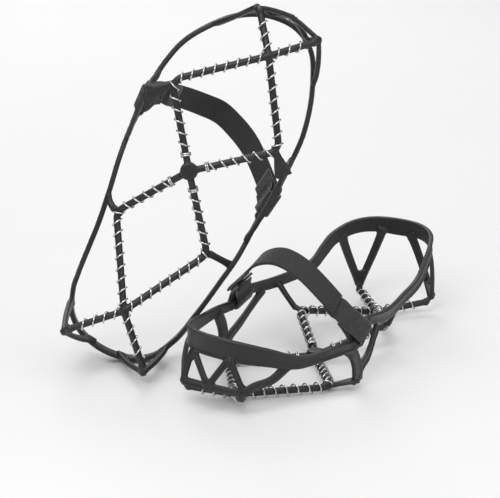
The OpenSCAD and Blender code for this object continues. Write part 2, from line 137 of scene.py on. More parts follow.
def placement(side):
    """The turn and shift that take the cleat's own frame to its place in the part."""
    joints = {j["name"]: np.array(j["pos_m"]) / MM for j in frame["joints"] if "pos_m" in j}
    mounts = {m["name"]: np.array(m["pos_m"]) / MM for m in record["mounts"]}
    there = (joints[side + "_strap_swing"], joints[side + "_keeper_fold"],
             mounts[side + "_disc_top"])
    turn = basis(*there, -1 if side == "left" else 1) @ basis(BAR_OUTER, BAR_INNER,
                                                              DISC_TOP, 1).T
    return turn, there[0] - turn @ BAR_OUTER


PLACEMENT = {side: placement(side) for side in SIDES}


# ---------- curves ----------
def smooth(points, steps):
    """Catmull-Rom curve through an open list of rows."""
    p = [np.array(q, float) for q in points]
    p = [2 * p[0] - p[1]] + p + [2 * p[-1] - p[-2]]
    out = []
    for a, b, c, d in zip(p, p[1:], p[2:], p[3:]):
        for k in range(steps):
            t = k / steps
            out.append(0.5 * (2 * b + (c - a) * t + (2 * a - 5 * b + 4 * c - d) * t * t
                              + (3 * b - a - 3 * c + d) * t ** 3))
    return np.array(out + [p[-2]])


def tangents(p):
    t = np.empty_like(p)
    t[1:-1] = p[2:] - p[:-2]
    t[0] = p[1] - p[0]
    t[-1] = p[-1] - p[-2]
    return t / np.linalg.norm(t, axis=1)[:, None]


class Line:
    """A polyline read by the distance along it."""

    def __init__(self, points):
        self.p = np.array(points)
        step = np.linalg.norm(np.diff(self.p, axis=0), axis=1)
        self.s = np.concatenate([[0], np.cumsum(step)])
        self.length = self.s[-1]

    def at(self, s):
        return np.array([np.interp(s, self.s, self.p[:, k]) for k in range(3)])


# ---------- mesh lofts ----------
class Soup:
    """Points and faces of several closed shells."""

    def __init__(self):
        self.points, self.faces, self.uv = [], [], []

    def loft(self, rings, uv=None):
        start, n = len(self.points), len(rings[0])
        for i, ring in enumerate(rings):
            self.points += [tuple(q) for q in ring]
            self.uv += uv[i] if uv else [(0.0, 0.0)] * n
        for i in range(len(rings) - 1):
            for k in range(n):
                a, b = start + n * i + k, start + n * i + (k + 1) % n
                self.faces.append((a, b, b + n, a + n))
        self.faces.append(tuple(start + k for k in range(n - 1, -1, -1)))
        self.faces.append(tuple(start + n * (len(rings) - 1) + k for k in range(n)))

    def ball(self, centre, r, stretch=(1, 1, 1), rows=12, cols=20):
        start = len(self.points)
        for i in range(1, rows):
            a = math.pi * i / rows
            for k in range(cols):
                b = 2 * math.pi * k / cols
                d = vec(math.sin(a) * math.cos(b), math.sin(a) * math.sin(b), math.cos(a))
                self.points.append(tuple(centre + r * d * np.array(stretch)))
        top = len(self.points)
        self.points.append(tuple(centre + vec(0, 0, r * stretch[2])))
        self.points.append(tuple(centre - vec(0, 0, r * stretch[2])))
        self.uv += [(0.0, 0.0)] * (len(self.points) - start)
        for i in range(rows - 2):
            for k in range(cols):
                a, b = start + cols * i + k, start + cols * i + (k + 1) % cols
                self.faces.append((a, a + cols, b + cols, b))
        for k in range(cols):
            self.faces.append((top, start + k, start + (k + 1) % cols))
            low = start + cols * (rows - 2)
            self.faces.append((top + 1, low + (k + 1) % cols, low + k))


# ---------- rubber ribbons ----------
ROUND = 1.3
LOW_BEAD = 0.45
BAND_BEAD = 1.1


def strap_profile(w, t, bead_top, bead_low):
    """Closed outline of a rubber strip: (across, outwards), with raised, rounded rims."""
    h, half = t / 2, w / 2
    rim = min(1.9, w * 0.2)
    return [(-half + ROUND * 0.4, -h), (half - ROUND * 0.4, -h), (half, -h + ROUND * 0.6),
            (half, h - 0.3), (half - 0.5, h + 0.5 * bead_top),
            (half - 0.5 * rim, h + bead_top), (half - rim, h + 0.6 * bead_top),
            (half - rim * 1.5, h - 0.25), (0.3 * half, h - 0.35), (-0.3 * half, h - 0.35),
            (-half + rim * 1.5, h - 0.25), (-half + rim, h + 0.6 * bead_low),
            (-half + 0.5 * rim, h + bead_low), (-half + 0.5, h + 0.5 * bead_low),
            (-half, h - 0.3), (-half, -h + ROUND * 0.6)]


def ribbon(soup, p, normals, widths, bead_top=LOW_BEAD, bead_low=LOW_BEAD, up_sign=1):
    """A strip along p, widths wide, with its outer face along the normals."""
    along = tangents(p)
    rings = []
    for q, a, n, w in zip(p, along, normals, widths):
        out = unit(n - a * (n @ a))
        across = np.cross(a, out) * up_sign
        ring = [q + across * u + out * v
                for u, v in strap_profile(w, BAND_T, bead_top, bead_low)]
        rings.append(ring if up_sign > 0 else ring[::-1])
    soup.loft(rings)


ARM_STEPS = 8
BAND_STEPS = 10


def arm(soup, stations, normal):
    """A curved arm; each station is x, y, z and the width there."""
    q = smooth(stations, ARM_STEPS)
    ribbon(soup, q[:, :3], [normal] * len(q), q[:, 3])


def strut(soup, a, b, normal, w0, w1, bow=0.0):
    """A strut from a to b, with a fillet at each end, that sinks into the band at b."""
    steps, flare, sink, sink_from = 16, 1.5, 1.1, 0.78
    p = np.array([mix(a, b, k / steps) + normal * (
        bow * math.sin(math.pi * k / steps)
        - sink * ease(max(0, (k / steps - sink_from) / (1 - sink_from))))
        for k in range(steps + 1)])
    w = [mix(w0, w1, k / steps) + flare * abs(2 * k / steps - 1) ** 5
         for k in range(steps + 1)]
    ribbon(soup, p, [normal] * len(p), w)


def gusset(soup, node_at, a, b, w, r):
    """Rounds the inner corner, with radius r, between two struts of width w that meet."""
    u, v = unit(a - node_at), unit(b - node_at)
    half = math.acos(u @ v) / 2
    normal = unit(np.cross(u, v))
    centre = node_at + unit(u + v) * (w / 2 + r) / math.sin(half)
    on_u, on_v = (node_at + d * (w / 2 + r) / math.tan(half) for d in (u, v))
    first, last = unit(on_u - centre), unit(on_v - centre)
    sweep = math.acos(first @ last)
    arc = [centre + r * (math.sin(sweep * (1 - t)) * first + math.sin(sweep * t) * last)
           / math.sin(sweep) for t in np.linspace(0, 1, 9)]
    outline = [node_at, on_u] + arc + [on_v]
    deep = BAND_T / 2 - 0.1
    soup.loft([[q - normal * deep for q in outline], [q + normal * deep for q in outline]])


# ---------- the harness ----------
def bar_station(bar, direction, s):
    e = bar + direction * BAR_HALF * s
    return [e[0], e[1], e[2] + BAR_END_W / 2, BAR_END_W]


# Stations run from the inner bar round the toe to the outer bar, then round the heel.
# Each is x, y, height of the top edge, width of the band.
FRONT_STATIONS = [
    bar_station(BAR_INNER, INNER_DIR, 1), [-64, 208, 47, 9], [-62.5, 230, 48, 10],
    [-57, 253, 52, 12], [-49, 273, 57, 15], [-39, 290, 61, 17], [-25, 300, TOE_RIM_H, 17.5],
    [-9, 303, TOE_RIM_H - 0.5, 17.5], [11, 299, TOE_RIM_H - 3.5, 17], [29, 288, 53, 14.5],
    [44, 271, 45, 11], [55, 252, 44.5, 9], [60, 232, 44.5, 9.5],
    bar_station(BAR_OUTER, OUTER_DIR, 1)]
REAR_STATIONS = [
    bar_station(BAR_OUTER, OUTER_DIR, -1), [60, 170, 51.5, 8.5], [57, 147, 47.2, 9.5],
    [52, 121, 44.5, 9.5], [48, 96, 45, 9.5], [46, 76, 46.5, 10], [44.6, 60, 50.5, 11],
    [43.2, 47, 58.5, 12], [41, 34, 66.5, 12], [33, 16, HEEL_RIM_H - 3.5, 12.5],
    [18, 5, HEEL_RIM_H - 0.5, 13.5], [-4, 1, HEEL_RIM_H, 15],
    [-26, 5, HEEL_RIM_H - 0.5, 13.5], [-41, 16, HEEL_RIM_H - 3.5, 12.5],
    [-49, 34, 66.5, 12], [-52, 47, 58.5, 12], [-53.5, 60, 50.5, 11], [-56, 76, 46.5, 10],
    [-59, 98, 46, 9.5], [-62, 123, 47, 9.5], bar_station(BAR_INNER, INNER_DIR, -1)]


def band(soup, stations):
    """The band that runs up round the toe or the heel of the boot."""
    q = smooth(stations, BAND_STEPS)
    p = np.stack([q[:, 0], q[:, 1], q[:, 2] - q[:, 3] / 2], 1)
    t = tangents(p)
    normals = [unit(vec(-a[1], a[0], 0)) for a in t]
    up_sign = -1 if np.cross(t[0], normals[0])[2] < 0 else 1
    ribbon(soup, p, normals, q[:, 3], BAND_BEAD, 0.5, up_sign)


def turns(count):
    """Angles evenly round a circle."""
    return [2 * math.pi * k / count for k in range(count)]


def tube(soup, p, r):
    """A round cord of radius r along p."""
    rings = []
    for q, a in zip(p, tangents(p)):
        across = unit(vec(a[1], -a[0], 0)) if abs(a[2]) < 0.99 else vec(1, 0, 0)
        up = np.cross(across, a)
        rings.append([q + r * (math.cos(c) * across + math.sin(c) * up)
                      for c in turns(TUBE_SIDES)])
    soup.loft([ring[::-1] for ring in rings])


def corner_path(start, corner, finish):
    """From start to finish round a corner of the lattice, as an arc of radius CORNER_R."""
    u, v = unit(start - corner), unit(finish - corner)
    half = math.acos(u @ v) / 2
    back = CORNER_R / math.tan(half)
    centre = corner + unit(u + v) * CORNER_R / math.sin(half)
    a0, a1 = corner + u * back - centre, corner + v * back - centre
    sweep = math.pi - 2 * half
    arc = [centre + (math.sin(sweep * (1 - t)) * a0 + math.sin(sweep * t) * a1)
           / math.sin(sweep) for t in np.linspace(0, 1, 15)]
    return [start] + arc + [finish]


def leg_hull(soup, corner, edge, w, neck):
    """A tapering foot from a corner of the lattice out to the sole's edge, w wide there."""
    steps, rings = 10, []
    d = unit(edge - corner)
    wide = unit(vec(0, 1, 0) - d * d[1])
    thick = np.cross(d, wide)
    reach = np.linalg.norm(edge - corner)
    for k in range(steps + 1):
        t = k / steps
        a = mix(neck / 2, w / 2, ease(t))
        b = mix(neck / 2, 1.9, ease(t * 1.4))
        c = corner + d * (reach * t)
        rings.append([c + wide * a * math.cos(g) + thick * b * math.sin(g)
                      for g in turns(TUBE_SIDES)])
    soup.loft(rings)
    soup.ball(corner, neck / 2)


LUG_D = 6.8
LUG_BALL_R = 2.9
FOOT_NECK = 4.6
FOOT_INSET = 3.5
BALL_FOOT_R = 1.9
BALL_FOOT_W = 14
# The nodes of the web at the toe: on the two lugs, between them, and under the band.
TOE_LUG_OUTER = TOE_OUTER + vec(3.4, 1.5, 4.5)
TOE_LUG_INNER = TOE_INNER + vec(-2.5, 3.5, 5.5)
TOE_LUG_MID = vec(-11.5, 309.5, 22)
RIM_NODE_OUTER = vec(4.5, 303.2, 45.5)
RIM_NODE_INNER = vec(-31, 297.6, 46.5)
RIM_FAR_OUTER = vec(39, 276.5, 37)
RIM_FAR_INNER = vec(-51, 271, 44)


def lug(soup, corner, edge, w):
    """The knob at a tip of the lattice, from which the web's struts rise."""
    leg_hull(soup, corner, edge, w, LUG_D)
    soup.ball(edge, LUG_BALL_R, (1, w / (2 * LUG_BALL_R), 1))


def toe_web(soup):
    """The web of struts between the toe's two lugs and the band."""
    toe_face = unit(vec(0, 1, 0.12))
    lug(soup, TOE_OUTER, TOE_LUG_OUTER, 6)
    lug(soup, TOE_INNER, TOE_LUG_INNER, 6)
    strut(soup, TOE_LUG_INNER, TOE_LUG_MID, unit(vec(-0.35, 0.93, 0.1)), 6, 6)
    strut(soup, TOE_LUG_MID, TOE_LUG_OUTER, unit(vec(0.2, 0.97, 0.1)), 6, 6, 1)
    strut(soup, TOE_LUG_MID, RIM_NODE_INNER, toe_face, 4.6, 5, 0.6)
    strut(soup, TOE_LUG_MID, RIM_NODE_OUTER, toe_face, 5, 5.4, 0.6)
    strut(soup, TOE_LUG_INNER, RIM_NODE_INNER, unit(vec(-0.5, 0.85, 0.12)), 5, 5.4, 0.5)
    strut(soup, TOE_LUG_OUTER, RIM_NODE_OUTER, toe_face, 4.6, 5, 0.5)
    arm(soup, [[*TOE_LUG_OUTER, 7], [22, 297.5, 24, 6.6], [31, 286, 27.5, 6.6],
               [*RIM_FAR_OUTER, 7.5]], unit(vec(0.6, 0.78, 0.12)))
    strut(soup, TOE_LUG_INNER, RIM_FAR_INNER, unit(vec(-0.9, 0.4, 0.1)), 6.5, 8, 1.5)
    gusset(soup, RIM_NODE_OUTER, TOE_LUG_MID, TOE_LUG_OUTER, 5, 2.2)
    gusset(soup, RIM_NODE_INNER, TOE_LUG_MID, TOE_LUG_INNER, 5, 2.2)
    gusset(soup, TOE_LUG_MID, RIM_NODE_OUTER, RIM_NODE_INNER, 5, 1.8)
    gusset(soup, TOE_LUG_OUTER, vec(21, 298.5, 22.5), RIM_NODE_OUTER, 5.4, 2.6)


# Offsets from the foot of a ball leg: outwards, to the toe, up; then the width.
OUTER_POST = [[-0.5, 0, -1.5, 14], [0.3, 1, 6, 13], [0.3, 3, 15, 11.5], [0, 8, 24, 11],
              [-2, 16, 31, 10]]
OUTER_ARM = [[0, 1, 5, 9], [-0.2, -8, 10.5, 8], [-0.8, -17, 13.5, 7.5],
             [-1.5, -25, 19.5, 6], [-2.5, -33, 27, 6], [-3, -39, 34, 7.5]]
INNER_POST = [[-0.5, 0, -1.5, 14], [0.3, 0.5, 6, 13], [0.6, 1.5, 15, 11.5],
              [0.8, 4, 24, 11], [0.5, 10, 33.5, 10]]
INNER_ARM = [[0, 0, 5, 9], [0.2, -10, 10.5, 8], [0.3, -22, 15, 7.5],
             [0.4, -35, 20.5, 6.5], [0.2, -49, 27.5, 6.5], [-1, -61, 34.5, 8]]


def ball_leg(soup, corner, side, foot_x, foot_y, post, rear_arm):
    """The wide leg beside the ball of the foot: a post, and an arm to the rear."""
    foot = vec(foot_x, foot_y, 7)
    out = unit(vec(side, 0, 0.04))
    leg_hull(soup, corner - vec(side * FOOT_INSET, 0, 0), foot, BALL_FOOT_W, FOOT_NECK)
    soup.ball(foot, BALL_FOOT_R, (1, 6.4 / BALL_FOOT_R, 1.4))
    for offsets in (post, rear_arm):
        arm(soup, [[foot[0] + side * q[0], foot[1] + q[1], foot[2] + q[2], q[3]]
                   for q in offsets], out)


def arch_leg(soup, corner, side, top):
    """The slender leg beside the arch of the foot."""
    edge = corner + vec(side * 3, 1, 2.5)
    half = mix(edge, top, 0.5)
    leg_hull(soup, corner - vec(side * FOOT_INSET, 0, 0), edge, 6.5, FOOT_NECK)
    soup.ball(edge, 2.4, (1, 1.3, 1))
    arm(soup, [[edge[0], edge[1], edge[2] - 1, 5.5], [half[0] + side, half[1], half[2], 5.5],
               [*top, 7]], unit(vec(side, 0, 0.3)))


def heel_leg(soup, corner, side, post_top, back_top):
    """A lug at the heel with two struts, one up its side and one up its back."""
    edge = corner + vec(side * 3, -5, 4)
    lug(soup, corner, edge, 6.5)
    strut(soup, edge, post_top, unit(vec(side, -0.6, 0)), 6.5, 8, 1)
    strut(soup, edge, back_top, vec(0, -1, 0), 6, 7.5, 1.5)
    gusset(soup, edge, post_top, back_top, 6, 2)


def strap_bar(soup, bar, direction):
    """The bar that the strap or the keeper folds round, with its round ends."""
    reach = BAR_HALF + 0.5
    tube(soup, np.array([bar + direction * reach * k / 4 for k in range(-4, 5)]), BAR_R)
    for s in (-1, 1):
        soup.ball(bar + direction * BAR_HALF * s, BAR_END_W / 2)


def disc(soup):
    """The round boss in the middle of the lattice."""
    rings = []
    low = DISC_TOP[2] - DISC_T
    for z, r in ((0, 5.9), (0.7, 6.7), (1.5, DISC_R), (DISC_T - 1.2, DISC_R),
                 (DISC_T - 0.4, 6.6), (DISC_T, 6.0)):
        rings.append([vec(HUB[0] + r * math.cos(a), HUB[1] + r * math.sin(a), low + z)
                      for a in turns(DISC_SIDES)])
    soup.loft(rings)


def harness_soup():
    """Every shell of the rubber harness, before they are fused."""
    soup = Soup()
    for tip, crossing, corner in ((TOE_INNER, CROSS_FRONT, BALL_OUTER),
                                  (TOE_OUTER, CROSS_FRONT, BALL_INNER),
                                  (HEEL_INNER, CROSS_REAR, ARCH_OUTER),
                                  (HEEL_OUTER, CROSS_REAR, ARCH_INNER)):
        tube(soup, np.array([tip] + corner_path(crossing, corner, HUB)), CORD_R)
    disc(soup)
    band(soup, FRONT_STATIONS)
    band(soup, REAR_STATIONS)
    strap_bar(soup, BAR_OUTER, OUTER_DIR)
    strap_bar(soup, BAR_INNER, INNER_DIR)
    toe_web(soup)
    ball_leg(soup, BALL_OUTER, 1, 62.5, 205, OUTER_POST, OUTER_ARM)
    ball_leg(soup, BALL_INNER, -1, -62, 198, INNER_POST, INNER_ARM)
    arch_leg(soup, ARCH_OUTER, 1, vec(51, 117, 40))
    arch_leg(soup, ARCH_INNER, -1, vec(-61, 113, 42))
    heel_leg(soup, HEEL_OUTER, 1, vec(38.5, 26, 61), vec(9, 4, 66))
    heel_leg(soup, HEEL_INNER, -1, vec(-46.5, 26, 61), vec(-17, 4, 66))
    return soup


def fused(soup):
    """One skin round all the shells, remeshed and softened as a moulding is."""
    mesh = bpy.data.meshes.new("harness_shells")
    mesh.from_pydata(soup.points, [], soup.faces)
    obj = bpy.data.objects.new("harness_shells", mesh)
    bpy.context.scene.collection.objects.link(obj)
    bpy.context.view_layer.objects.active = obj
    fix = obj.modifiers.new("skin", "REMESH")
    fix.mode = "VOXEL"
    fix.voxel_size = VOXEL
    soften = obj.modifiers.new("soften", "SMOOTH")
    soften.factor = 0.5
    soften.iterations = SOFTEN_STEPS
    graph = bpy.context.evaluated_depsgraph_get()
    skin = bpy.data.meshes.new_from_object(obj.evaluated_get(graph))
    bpy.data.objects.remove(obj)
    return skin


# ---------- putting a mesh on a cleat ----------
def set_down(mesh, side, node, material, body):
    """Copies a mesh drawn in the cleat's frame to its place, in metres."""
    turn, shift = PLACEMENT[side]
    name = node + "_piece"
    mesh = mesh.copy()
    mesh.name = name
    rows = [[*(turn[i] * MM), shift[i] * MM] for i in range(3)]
    mesh.transform(Matrix(rows + [[0, 0, 0, 1]]))
    if np.linalg.det(turn) < 0:
        mesh.flip_normals()
    for poly in mesh.polygons:
        poly.use_smooth = True
    mesh.materials.clear()
    mesh.materials.append(material)
    obj = bpy.data.objects.new(name, mesh)
    bpy.context.scene.collection.objects.link(obj)
    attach(obj, body)
    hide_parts(node)


def mesh_of(soup, name):
    """A mesh whose UVs are millimetres along and across the strip."""
    mesh = bpy.data.meshes.new(name)
    mesh.from_pydata(soup.points, [], soup.faces)
    layer = mesh.uv_layers.new(name="along")
    for loop in mesh.loops:
        layer.data[loop.index].uv = soup.uv[loop.vertex_index]
    return mesh


# ---------- the instep strap ----------
FOLD_R = BAR_R + 0.4 + STRAP_T / 2
KEEPER_DROP = STRAP_T + HOOK_T + 2 * GAP
OUTER_RISE = vec(-0.554, 0.447, 0.703)
OUTER_RISE = unit(OUTER_RISE - OUTER_DIR * (OUTER_RISE @ OUTER_DIR))
INNER_RISE = vec(0.45, 0.3, 0.83)
INNER_RISE = unit(INNER_RISE - INNER_DIR * (INNER_RISE @ INNER_DIR))
OUTER_OUT = np.cross(OUTER_DIR, OUTER_RISE)
INNER_OUT = np.cross(INNER_RISE, INNER_DIR)
OUTER_START = BAR_OUTER + OUTER_OUT * FOLD_R
INNER_START = BAR_INNER + INNER_OUT * (FOLD_R + KEEPER_DROP)
STRAP_LINE = Line(smooth([
    OUTER_START, OUTER_START + OUTER_RISE * 9, [52, 208, 61], [35.5, 211, 78],
    [18, 212.5, 92.5], [2, 213, 99.5], [-13, 209, 98], [-28, 203, 90.5], [-42, 194, 77],
    INNER_START + INNER_RISE * 12, INNER_START], 20))
STRAP_LEN = STRAP_LINE.length
WEBBING_END = STRAP_LEN - 8
PAD_LEN = 20
KEEPER_LEN = 30
SEAM_LAP = 9
UNDER = STRAP_T + GAP
UNDER_RAMP = 4.8
BACK_LEN = 22
BACK_GAP = 0.35
LEG_STEPS = 24
FUZZY_STEPS = 32
SPAN_STEP = 1.2
SELVEDGE = 0.12


def strap_at(s, d):
    """Place, width direction and outward direction at s along the strap, d off its middle."""
    around = max(s - 2, 0), min(s + 2, STRAP_LEN)
    along = unit(STRAP_LINE.at(around[1]) - STRAP_LINE.at(around[0]))
    width = unit(mix(OUTER_DIR, INNER_DIR, ease(s / STRAP_LEN)))
    out = unit(np.cross(width, along))
    return STRAP_LINE.at(s) + out * d, width, out


def fold_turn(bar, direction, out, rise):
    """A fold round a bar, from its outer side to its inner side."""
    turn = []
    for k in range(LEG_STEPS + 1):
        a = math.pi * k / LEG_STEPS
        away = unit(math.cos(a) * out - math.sin(a) * rise)
        turn.append((bar + FOLD_R * away, direction, away))
    return turn


def back_layer(s0, heading, drop):
    """The way back up from a fold, closing in under the layer it comes from."""
    layer = []
    for k in range(1, LEG_STEPS + 1):
        t = k / LEG_STEPS
        depth = mix(2 * FOLD_R, STRAP_T + BACK_GAP, ease(t))
        q, width, out = strap_at(s0 + heading * BACK_LEN * t, -drop - depth)
        layer.append((q, width, -out))
    return layer


def sheet(soup, stations, w, t, selvedge):
    """A flat woven strip with rounded, slightly thicker edges. Its UVs are millimetres."""
    half, h = w / 2, t / 2
    top = [(-half + 0.9, h + selvedge), (-half + 2, h), (0, h), (half - 2, h),
           (half - 0.9, h + selvedge)]
    low = [(half - 0.9, -h), (half - 2, -h + 0.05), (0, -h + 0.05), (-half + 2, -h + 0.05),
           (-half + 0.9, -h)]
    outline = ([(-half, -h * 0.45), (-half, h * 0.45), (-half + 0.25, h * 0.85)] + top
               + [(half - 0.25, h * 0.85), (half, h * 0.45), (half, -h * 0.45),
                  (half - 0.25, -h * 0.85)] + low + [(-half + 0.25, -h * 0.85)])
    rings, uv, run = [], [], 0.0
    last = None
    for q, width, out in stations:
        run += 0 if last is None else float(np.linalg.norm(q - last))
        last = q
        rings.append([q + width * u + out * v for u, v in outline])
        uv.append([(run, u) for u, v in outline])
    a = stations[1][0] - stations[0][0]
    if np.cross(stations[0][1], stations[0][2]) @ a > 0:
        rings = [r[::-1] for r in rings]
        uv = [r[::-1] for r in uv]
    soup.loft(rings, uv)


def span(s0, s1, d):
    """Stations along the strap from s0 to s1, d off its middle."""
    n = math.ceil((s1 - s0) / SPAN_STEP)
    return [strap_at(mix(s0, s1, k / n), d) for k in range(n + 1)]


def fuzzy_stations():
    """From under the webbing, out and down to the outer bar, round it and back up."""
    stations = []
    for k in range(FUZZY_STEPS + 1):
        s = mix(FUZZY_LEN + SEAM_LAP, 0.6, k / FUZZY_STEPS)
        q, width, out = strap_at(s, -UNDER * ease((s - FUZZY_LEN + UNDER_RAMP) / UNDER_RAMP))
        stations.append((q, width, out))
    return (stations + fold_turn(BAR_OUTER, OUTER_DIR, OUTER_OUT, OUTER_RISE)
            + back_layer(0, 1, 0))


def keeper_stations():
    """From under the strap's end, down to the inner bar, round it and back up."""
    leg = [strap_at(STRAP_LEN - KEEPER_LEN * (1 - k / LEG_STEPS), -KEEPER_DROP)
           for k in range(LEG_STEPS)]
    return (leg + fold_turn(BAR_INNER, INNER_DIR, INNER_OUT, INNER_RISE)
            + back_layer(STRAP_LEN, -1, KEEPER_DROP))


# A loop of pile: half a ring of LOOP_STEPS pieces, on a three-sided thread.
LOOP_STEPS = 4
LOOP_SIDES = (0, 2.094, 4.189)
LOOP_REACH = 0.47
LOOP_SIZE = 0.3, 0.62
LOOP_THREAD = 0.045, 0.075


def pile(soup, stations, w, t, count, seed):
    """Short curled loops of thread standing on the outer face of a fuzzy strip."""
    rng = random.Random(seed)
    for _ in range(count):
        i = rng.randrange(len(stations) - 1)
        (a, width, out), (b, _, _) = stations[i], stations[i + 1]
        q = mix(a, b, rng.random()) + out * (t / 2) + width * w * rng.uniform(
            -LOOP_REACH, LOOP_REACH)
        lean = unit((b - a) * rng.uniform(-1, 1) + width * rng.uniform(-1, 1))
        side = np.cross(lean, out)
        size, thick = rng.uniform(*LOOP_SIZE), rng.uniform(*LOOP_THREAD)
        rings = []
        for k in range(LOOP_STEPS + 1):
            g = math.pi * k / LOOP_STEPS
            c = q + lean * size * math.cos(g) + out * (size * 0.75 * math.sin(g) - 0.05)
            radial = lean * math.cos(g) + out * math.sin(g)
            rings.append([c + thick * (radial * math.cos(m) + side * math.sin(m))
                          for m in LOOP_SIDES])
        soup.loft(rings)


# ---------- stitching ----------
STITCH_LEN = 2.2
STITCH_PITCH = 3.5
STITCH_STEPS = 8
STITCH_RISE = 0.45
STITCH_BITE = 0.12
EDGE_MARGIN = 1.5
THREAD_R = 0.33
THREAD_LIFT = 0.06
THREAD_SIDES = 10


def stitch_row(soup, s, d):
    """A row of stitches across the strap; each is an arch of thread with thin ends."""
    q, width, out = strap_at(s, d + STRAP_T / 2 + THREAD_LIFT)
    side = np.cross(out, width)
    count = math.floor((STRAP_W - 2 * EDGE_MARGIN) / STITCH_PITCH)
    for k in range(count):
        mid = q + width * (k - (count - 1) / 2) * STITCH_PITCH
        rings = []
        for m in range(STITCH_STEPS + 1):
            t = m / STITCH_STEPS
            arch = math.sin(math.pi * t)
            c = (mid + width * (t - 0.5) * (STITCH_LEN + 0.5)
                 + out * (arch ** 0.6 * STITCH_RISE - STITCH_BITE))
            r = THREAD_R * (0.7 + 0.3 * arch)
            rings.append([c + r * (out * math.cos(g) + side * math.sin(g))
                          for g in turns(THREAD_SIDES)])
        soup.loft(rings)


# ---------- materials ----------
def material(name):
    mat = bpy.data.materials.new(name)
    mat.use_nodes = True
    return mat, mat.node_tree, mat.node_tree.nodes["Principled BSDF"]


def node(tree, kind, **values):
    """A shader node, with its inputs or its own settings given by name."""
    made = tree.nodes.new(kind)
    for key, value in values.items():
        if key in made.inputs:
            made.inputs[key].default_value = value
        else:
            setattr(made, key, value)
    return made


def noise(tree, scale, detail=4.0, rough=0.55):
    made = node(tree, "ShaderNodeTexNoise", Scale=scale, Detail=detail, Roughness=rough)
    tree.links.new(node(tree, "ShaderNodeTexCoord").outputs["Object"], made.inputs["Vector"])
    return made.outputs["Fac"]


def ramp(tree, fac, stops):
    """A colour for each value of fac, through stops of position and colour."""
    made = node(tree, "ShaderNodeValToRGB")
    made.color_ramp.elements[0].position, made.color_ramp.elements[-1].position = (
        stops[0][0], stops[-1][0])
    made.color_ramp.elements[0].color = (*stops[0][1], 1)
    made.color_ramp.elements[-1].color = (*stops[-1][1], 1)
    for at, colour in stops[1:-1]:
        made.color_ramp.elements.new(at).color = (*colour, 1)
    tree.links.new(fac, made.inputs["Fac"])
    return made.outputs["Color"]


def grey(v):
    return v, v, v


def remap(tree, fac, low, high):
    made = node(tree, "ShaderNodeMapRange")
    made.inputs["To Min"].default_value = low
    made.inputs["To Max"].default_value = high
    tree.links.new(fac, made.inputs["Value"])
    return made.outputs["Result"]


def bump(tree, shader, height, strength, distance, onto=None):
    made = node(tree, "ShaderNodeBump", Strength=strength, Distance=distance)
    tree.links.new(height, made.inputs["Height"])
    if onto is not None:
        tree.links.new(onto, made.inputs["Normal"])
    tree.links.new(made.outputs["Normal"], shader.inputs["Normal"])
    return made.outputs["Normal"]


def maths(tree, operation, a, b=None):
    made = node(tree, "ShaderNodeMath", operation=operation)
    for socket, value in zip(made.inputs, (a, b)):
        if isinstance(value, (int, float)):
            socket.default_value = value
        elif value is not None:
            tree.links.new(value, socket)
    return made.outputs[0]


def rubber_material():
    """Charcoal rubber: fine moulded grain, faint bloom, and a painted highlight that makes the ridges paler."""
    mat, tree, shader = material("moulded_rubber")
    cloud = noise(tree, 38, 5)
    colour = ramp(tree, cloud, [(0.32, grey(0.006)), (0.55, grey(0.009)), (0.75, grey(0.013))])
    # Painted highlight: the base colour is lightened on convex ridges and rims.
    ridge_mask = node(tree, "ShaderNodeNewGeometry").outputs["Pointiness"]
    edge = ramp(tree, ridge_mask, [(0.50, grey(0.0)), (0.60, grey(0.014))])
    add = node(tree, "ShaderNodeMixRGB", blend_type="ADD", Fac=1.0)
    tree.links.new(colour, add.inputs["Color1"])
    tree.links.new(edge, add.inputs["Color2"])
    tree.links.new(add.outputs["Color"], shader.inputs["Base Color"])
    tree.links.new(remap(tree, noise(tree, 130, 3), 0.36, 0.56), shader.inputs["Roughness"])
    grain = bump(tree, shader, noise(tree, 2600, 2), 0.22, 0.0002)
    bump(tree, shader, noise(tree, 210, 3), 0.25, 0.0006, grain)
    shader.inputs["Specular IOR Level"].default_value = 0.55
    return mat


def steel_material():
    """Bright drawn wire with fine draw marks and a little tarnish."""
    mat, tree, shader = material("spring_steel")
    colour = ramp(tree, noise(tree, 160, 4), [(0.3, (0.50, 0.51, 0.53)), (0.7, (0.74, 0.75, 0.77))])
    tree.links.new(colour, shader.inputs["Base Color"])
    shader.inputs["Metallic"].default_value = 1.0
    tree.links.new(remap(tree, noise(tree, 700, 3), 0.12, 0.27), shader.inputs["Roughness"])
    bump(tree, shader, noise(tree, 1800, 2), 0.12, 0.0001)
    return mat


def woven_height(tree, warp, weft):
    """Over-and-under weave from the strip's own millimetres."""
    uv = node(tree, "ShaderNodeUVMap", uv_map="along")
    split = node(tree, "ShaderNodeSeparateXYZ")
    tree.links.new(uv.outputs["UV"], split.inputs[0])
    along, across = split.outputs[0], split.outputs[1]
    a = maths(tree, "SINE", maths(tree, "MULTIPLY", along, 2 * math.pi / warp))
    b = maths(tree, "SINE", maths(tree, "MULTIPLY", across, 2 * math.pi / weft))
    cell = maths(tree, "MULTIPLY", a, b)
    rib = maths(tree, "ABSOLUTE", maths(tree, "SINE",
                maths(tree, "MULTIPLY", across, math.pi / weft)))
    return maths(tree, "ADD", maths(tree, "MULTIPLY", cell, 0.5), rib), cell


